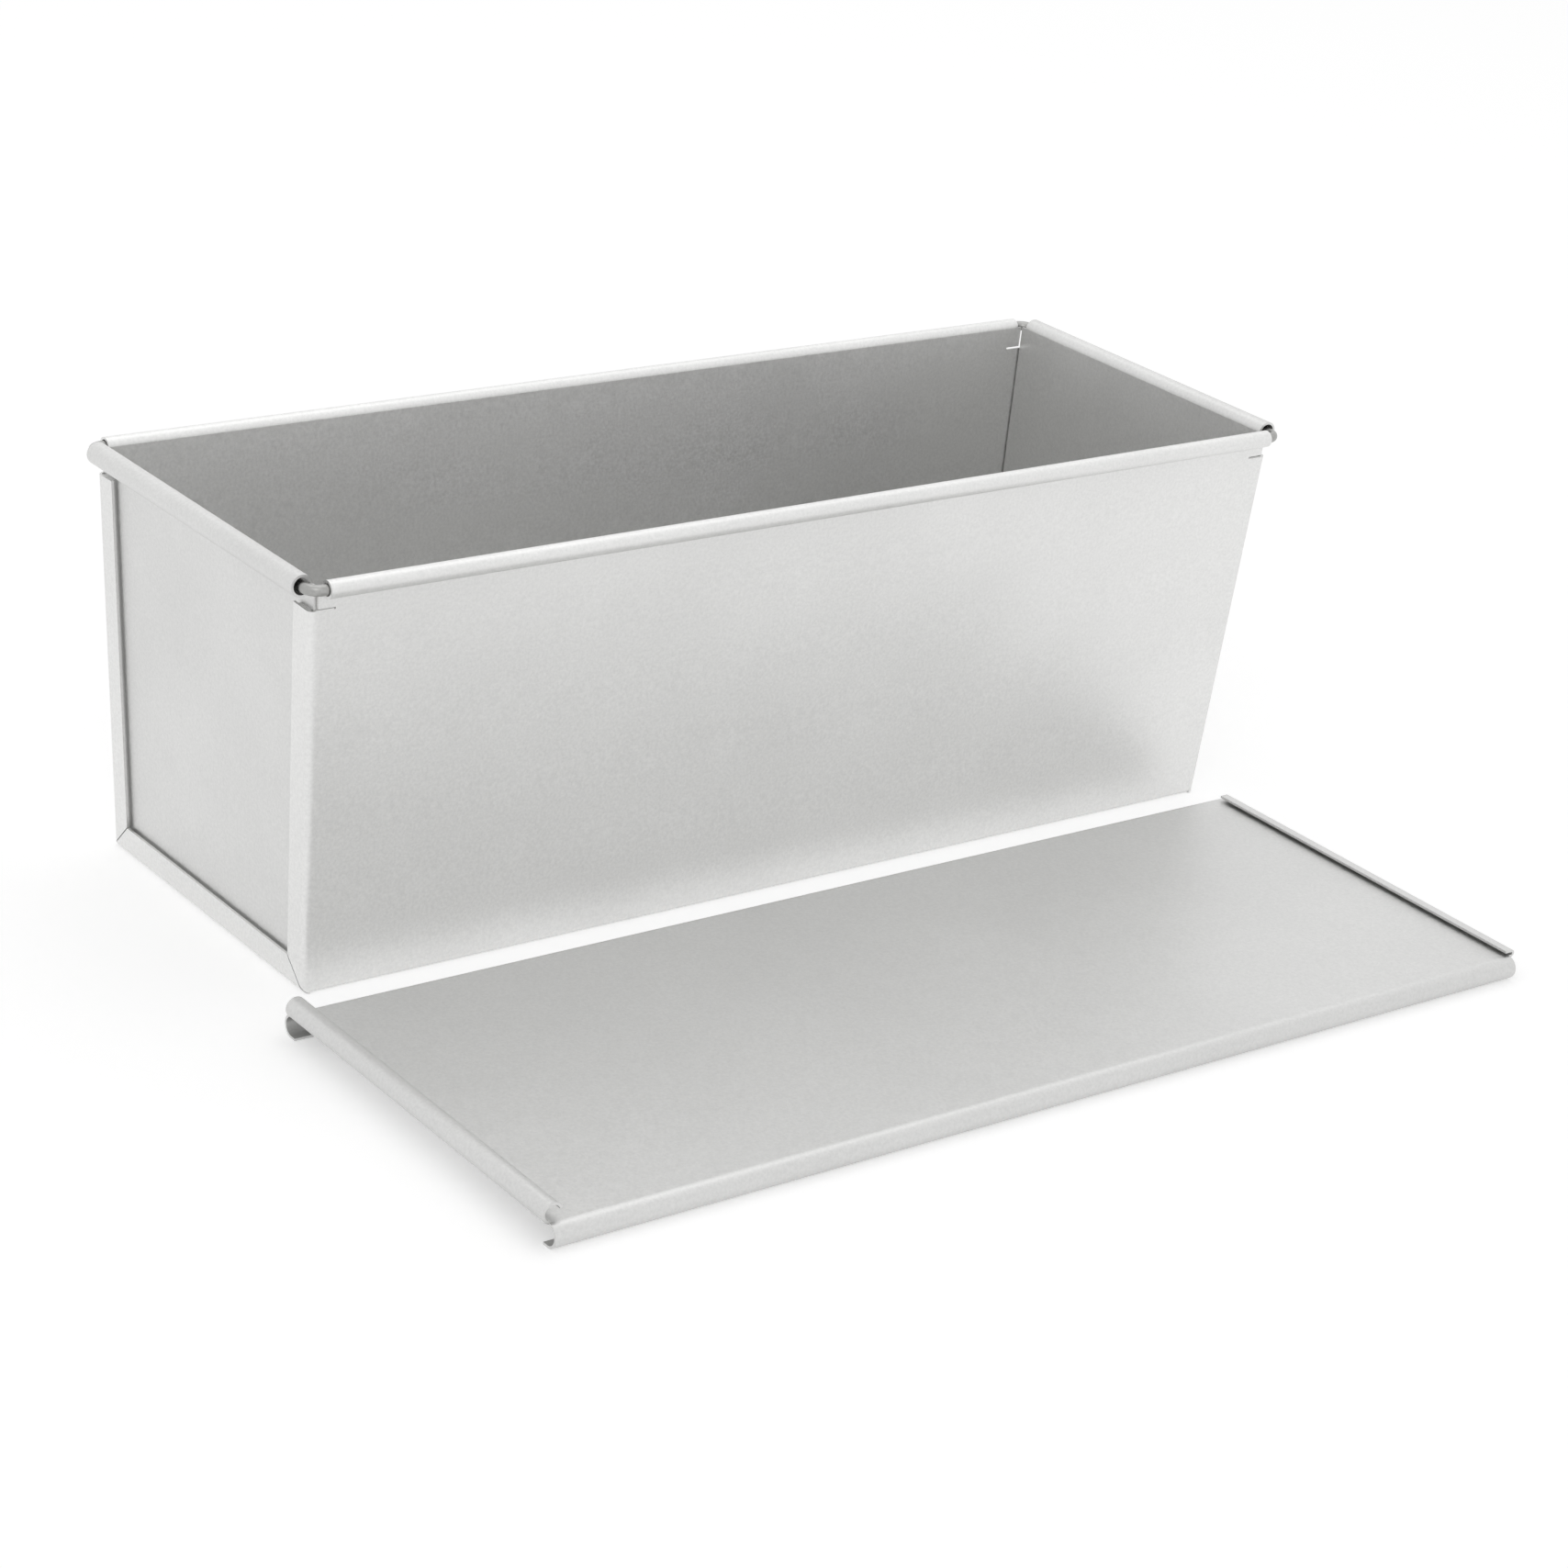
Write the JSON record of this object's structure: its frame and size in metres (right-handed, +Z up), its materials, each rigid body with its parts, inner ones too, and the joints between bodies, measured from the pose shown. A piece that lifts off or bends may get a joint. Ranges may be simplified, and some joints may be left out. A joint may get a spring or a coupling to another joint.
{
  "type": "pullman loaf pan",
  "caption": "Straight-sided folded steel loaf pan with a wired, rolled rim and a flat lid that slides along the rim, shown lifted off beside it.",
  "frame": {"origin": "middle of the flat underside of the pan's base", "axes": "+X along the pan's length, +Y away from the side on which the lid lies, +Z up"},
  "size_m": [0.3421, 0.2555, 0.1191],
  "materials": {
    "body_steel": "matte aluminised sheet",
    "panel_steel": "matte aluminised sheet",
    "wire_steel": "drawn galvanised wire",
    "lid_steel": "matte aluminised sheet"
  },
  "bodies": {
    "pan": {"body_sheet": "body_steel", "left_end_panel": "panel_steel", "right_end_panel": "panel_steel", "rim_wire": "wire_steel"},
    "lid": {"lid": "lid_steel"}
  },
  "joints": [
    {"name": "lid_lift", "type": "slide", "parent": "pan", "child": "lid", "axis": [0, 0, 1], "range_m": [0, 0.15]}
  ]
}
